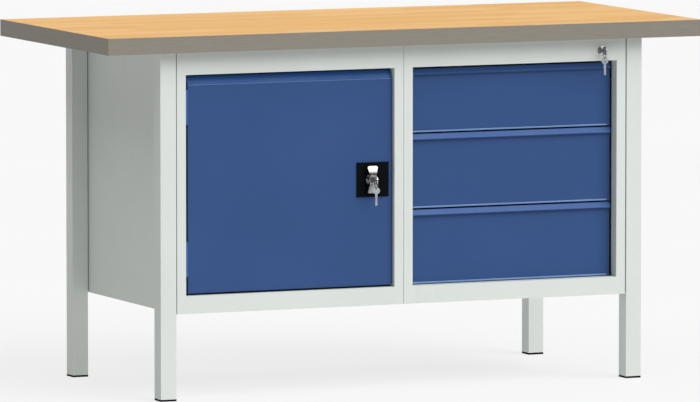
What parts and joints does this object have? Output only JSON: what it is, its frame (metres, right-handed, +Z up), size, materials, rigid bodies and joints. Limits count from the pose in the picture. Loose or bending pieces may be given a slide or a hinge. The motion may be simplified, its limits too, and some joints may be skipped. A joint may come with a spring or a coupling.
{
  "type": "workbench with cupboard and drawers",
  "caption": "Steel-framed workbench with a thick timber top, a lockable cupboard with a hinged door, and a bank of drawers on telescopic runners.",
  "frame": {"origin": "centre of the footprint of the worktop, on the floor", "axes": "+X to the right along the length, +Y to the back, +Z up"},
  "size_m": [1.5, 0.67, 0.84],
  "materials": {
    "beech": "oiled laminated beech, thick board edge",
    "grey_paint": "fine-texture light grey powder coat",
    "blue_paint": "semi-gloss blue powder coat",
    "black_paint": "satin black",
    "black_plastic": "matt",
    "chrome": "bright plated",
    "zinc": "zinc plated"
  },
  "bodies": {
    "bench": {"worktop": "beech", "leg_front_left": "grey_paint", "leg_front_right": "grey_paint", "leg_rear_left": "grey_paint", "leg_rear_right": "grey_paint", "foot_caps": "black_plastic", "cupboard_stiles": "grey_paint", "cupboard_rails": "grey_paint", "cupboard_side_left": "grey_paint", "cupboard_side_right": "grey_paint", "cupboard_back": "grey_paint", "cupboard_bottom": "grey_paint", "cupboard_top_flanges": "grey_paint", "cupboard_shelf": "grey_paint", "shelf_clips": "zinc", "drawer_unit_stiles": "grey_paint", "drawer_unit_rails": "grey_paint", "drawer_unit_side_left": "grey_paint", "drawer_unit_side_right": "grey_paint", "drawer_unit_back": "grey_paint", "drawer_unit_bottom": "grey_paint", "drawer_unit_top_flanges": "grey_paint", "rail_posts": "zinc", "worktop_screws": "zinc", "leg_bolts": "zinc", "joining_bolts": "zinc", "rails_outer_top": "zinc", "rails_outer_middle": "zinc", "rails_outer_bottom": "zinc", "hinge_leaves_fixed": "blue_paint", "hinge_pins": "zinc", "drawer_lock_housing": "chrome"},
    "door": {"door_panel": "blue_paint", "door_stiffener": "grey_paint", "hinge_leaves_door": "blue_paint", "handle_plate": "black_paint"},
    "handle": {"door_handle": "chrome", "latch_cam": "zinc"},
    "door_key_turning": {"door_lock_cylinder": "chrome", "door_key": "chrome"},
    "door_key_ring_hanging": {"door_key_ring": "zinc", "door_spare_key": "chrome"},
    "drawer_key_turning": {"drawer_lock_cylinder": "chrome", "drawer_key": "chrome"},
    "drawer_key_ring_hanging": {"drawer_key_ring": "zinc"},
    "drawer_top": {"drawer_front_top": "blue_paint", "drawer_tray_top": "grey_paint", "rails_inner_top": "zinc"},
    "runner_top": {"rails_middle_top": "zinc"},
    "drawer_middle": {"drawer_front_middle": "blue_paint", "drawer_tray_middle": "grey_paint", "rails_inner_middle": "zinc"},
    "runner_middle": {"rails_middle_middle": "zinc"},
    "drawer_bottom": {"drawer_front_bottom": "blue_paint", "drawer_tray_bottom": "grey_paint", "rails_inner_bottom": "zinc"},
    "runner_bottom": {"rails_middle_bottom": "zinc"}
  },
  "joints": [
    {"name": "door_hinge", "type": "hinge", "parent": "bench", "child": "door", "pos_m": [-0.54125, -0.293, 0.49], "axis": [0, 0, -1], "range_deg": [0, 110]},
    {"name": "handle_turn", "type": "hinge", "parent": "door", "child": "handle", "pos_m": [-0.0805, -0.3, 0.492], "axis": [0, 1, 0], "range_deg": [0, 90]},
    {"name": "door_key_turn", "type": "hinge", "parent": "handle", "child": "door_key_turning", "pos_m": [-0.0805, -0.31, 0.492], "axis": [0, 1, 0], "range_deg": [0, 90]},
    {"name": "door_key_ring_swing", "type": "hinge", "parent": "door_key_turning", "child": "door_key_ring_hanging", "pos_m": [-0.0805, -0.3274, 0.492], "axis": [1, 0, 0], "range_deg": [-60, 0]},
    {"name": "drawer_key_turn", "type": "hinge", "parent": "bench", "child": "drawer_key_turning", "pos_m": [0.506, -0.304, 0.773], "axis": [0, 1, 0], "range_deg": [0, 90]},
    {"name": "drawer_key_ring_swing", "type": "hinge", "parent": "drawer_key_turning", "child": "drawer_key_ring_hanging", "pos_m": [0.506, -0.3197, 0.773], "axis": [1, 0, 0], "range_deg": [-60, 0]},
    {"name": "drawer_top_slide", "type": "slide", "parent": "bench", "child": "drawer_top", "axis": [0, -1, 0], "range_m": [0, 0.45]},
    {"name": "runner_top_slide", "type": "slide", "parent": "bench", "child": "runner_top", "axis": [0, -1, 0], "range_m": [0, 0.225]},
    {"name": "drawer_middle_slide", "type": "slide", "parent": "bench", "child": "drawer_middle", "axis": [0, -1, 0], "range_m": [0, 0.45]},
    {"name": "runner_middle_slide", "type": "slide", "parent": "bench", "child": "runner_middle", "axis": [0, -1, 0], "range_m": [0, 0.225]},
    {"name": "drawer_bottom_slide", "type": "slide", "parent": "bench", "child": "drawer_bottom", "axis": [0, -1, 0], "range_m": [0, 0.45]},
    {"name": "runner_bottom_slide", "type": "slide", "parent": "bench", "child": "runner_bottom", "axis": [0, -1, 0], "range_m": [0, 0.225]}
  ],
  "couplings": [
    {"joint": "runner_top_slide", "follows": "drawer_top_slide", "ratio": 0.5},
    {"joint": "runner_middle_slide", "follows": "drawer_middle_slide", "ratio": 0.5},
    {"joint": "runner_bottom_slide", "follows": "drawer_bottom_slide", "ratio": 0.5}
  ]
}
